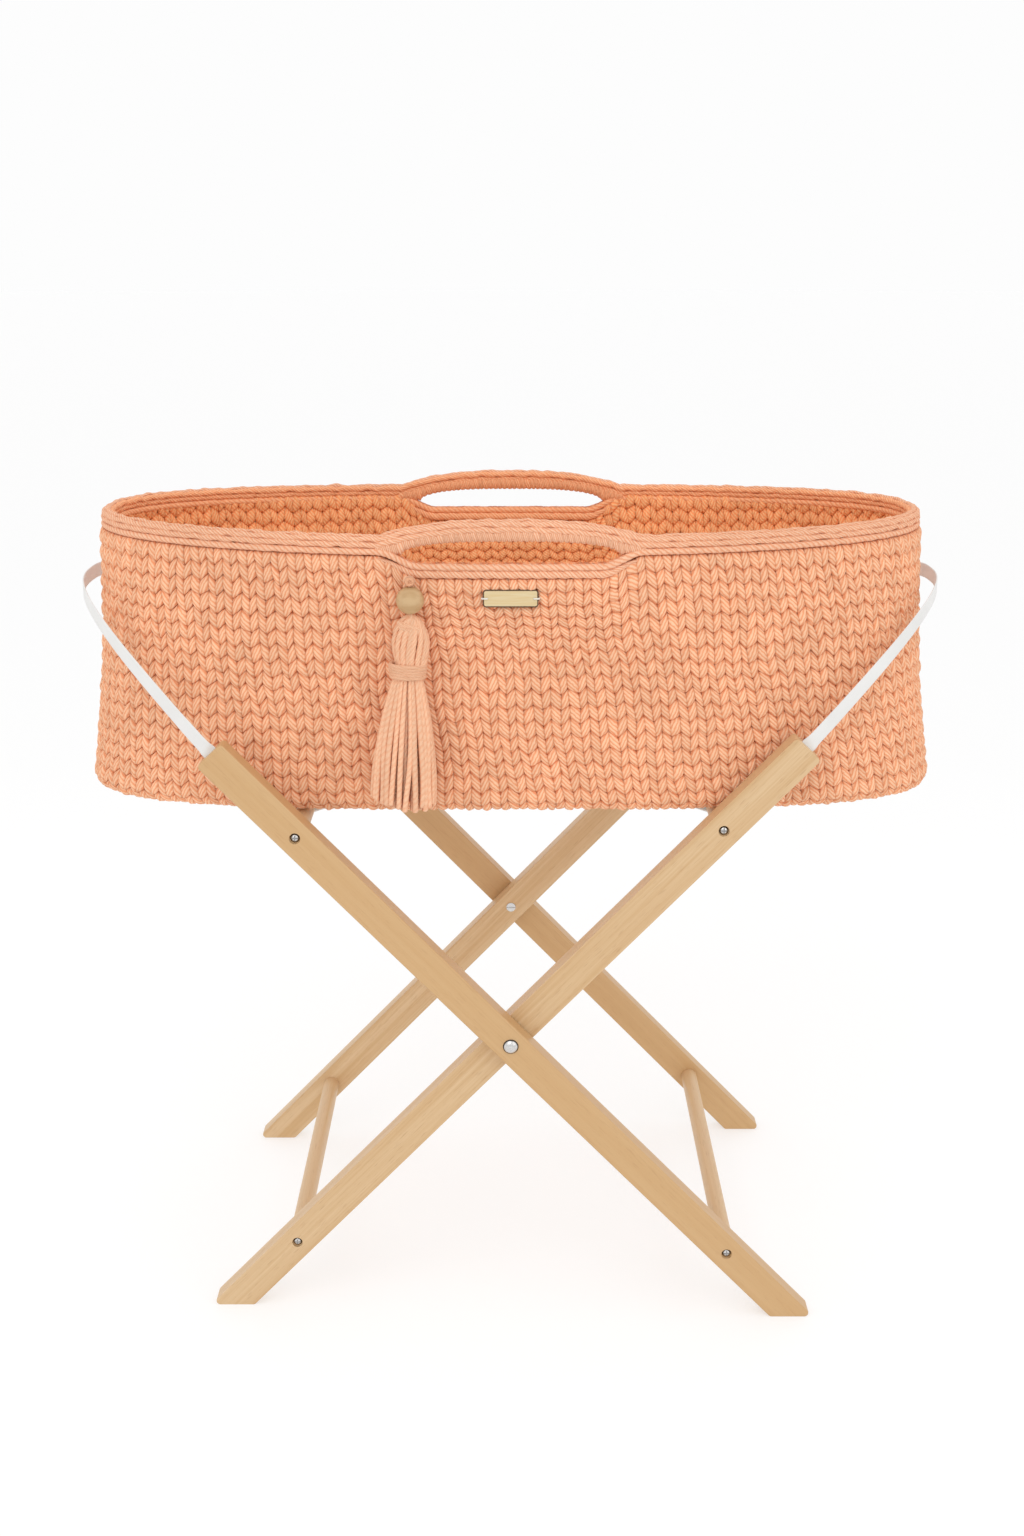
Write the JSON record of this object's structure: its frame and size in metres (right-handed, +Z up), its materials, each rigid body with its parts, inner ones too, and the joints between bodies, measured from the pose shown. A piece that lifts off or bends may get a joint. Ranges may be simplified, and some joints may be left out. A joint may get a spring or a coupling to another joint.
{
  "type": "moses basket stand",
  "caption": "Folding wooden stand with crossed legs, round rails and webbing straps, carrying an oval stitched moses basket with hand holes, a mattress, a bare plate and a hanging tassel.",
  "frame": {"origin": "on the floor under the middle of the stand, at the middle of the overall box", "axes": "+X along the basket's length, -Y is the front with the plate and the tassel, +Z up"},
  "size_m": [0.8414, 0.418, 0.7999],
  "materials": {
    "leg_wood": "clear satin lacquer",
    "rail_wood": "clear satin lacquer",
    "steel": "polished",
    "webbing": "plain woven cotton",
    "yarn": "chunky cotton cord, stitched",
    "rim_yarn": "chunky cotton cord, braided",
    "board": "raw fibre board",
    "mattress_cover": "soft cotton jersey",
    "plate_wood": "smooth, unfinished",
    "thread": "twisted cotton",
    "bead_wood": "waxed",
    "tassel_yarn": "loose cotton cord"
  },
  "bodies": {
    "frame_outer": {"front_outer_leg": "leg_wood", "back_outer_leg": "leg_wood", "left_upper_rail": "rail_wood", "right_lower_rail": "rail_wood", "outer_rail_screws": "steel", "pivot_bolts": "steel", "pivot_nuts": "steel", "pivot_washers": "steel", "left_end_strap": "webbing", "left_strap_pins": "steel", "front_support_strap": "webbing", "back_support_strap": "webbing"},
    "frame_inner": {"front_inner_leg": "leg_wood", "back_inner_leg": "leg_wood", "right_upper_rail": "rail_wood", "left_lower_rail": "rail_wood", "inner_rail_screws": "steel", "right_end_strap": "webbing", "right_strap_pins": "steel"},
    "basket": {"knit_wall": "yarn", "knit_rim": "rim_yarn", "knit_base": "yarn", "base_board": "board", "mattress": "mattress_cover", "name_plate": "plate_wood", "plate_stitches": "thread", "tassel_knot": "yarn"},
    "tassel": {"tassel_cord": "tassel_yarn", "tassel_bead": "bead_wood", "tassel_head": "tassel_yarn", "tassel_binding": "tassel_yarn", "tassel_skirt": "tassel_yarn"}
  },
  "joints": [
    {"name": "fold", "type": "hinge", "parent": "frame_outer", "child": "frame_inner", "pos_m": [0, 0, 0.298], "axis": [0, -1, 0], "range_deg": [0, 81], "deforming": ["front_support_strap", "back_support_strap", "left_end_strap", "right_end_strap"]},
    {"name": "basket_lift", "type": "slide", "parent": "frame_outer", "child": "basket", "axis": [0, 0, 1], "range_m": [0, 0.638]},
    {"name": "tassel_swing", "type": "hinge", "parent": "basket", "child": "tassel", "pos_m": [-0.09, -0.19257, 0.74686], "axis": [0, 1, 0], "range_deg": [-30, 30]}
  ],
  "couplings": [
    {"joint": "basket_lift", "follows": "fold", "m_per_rad": 0.45}
  ]
}
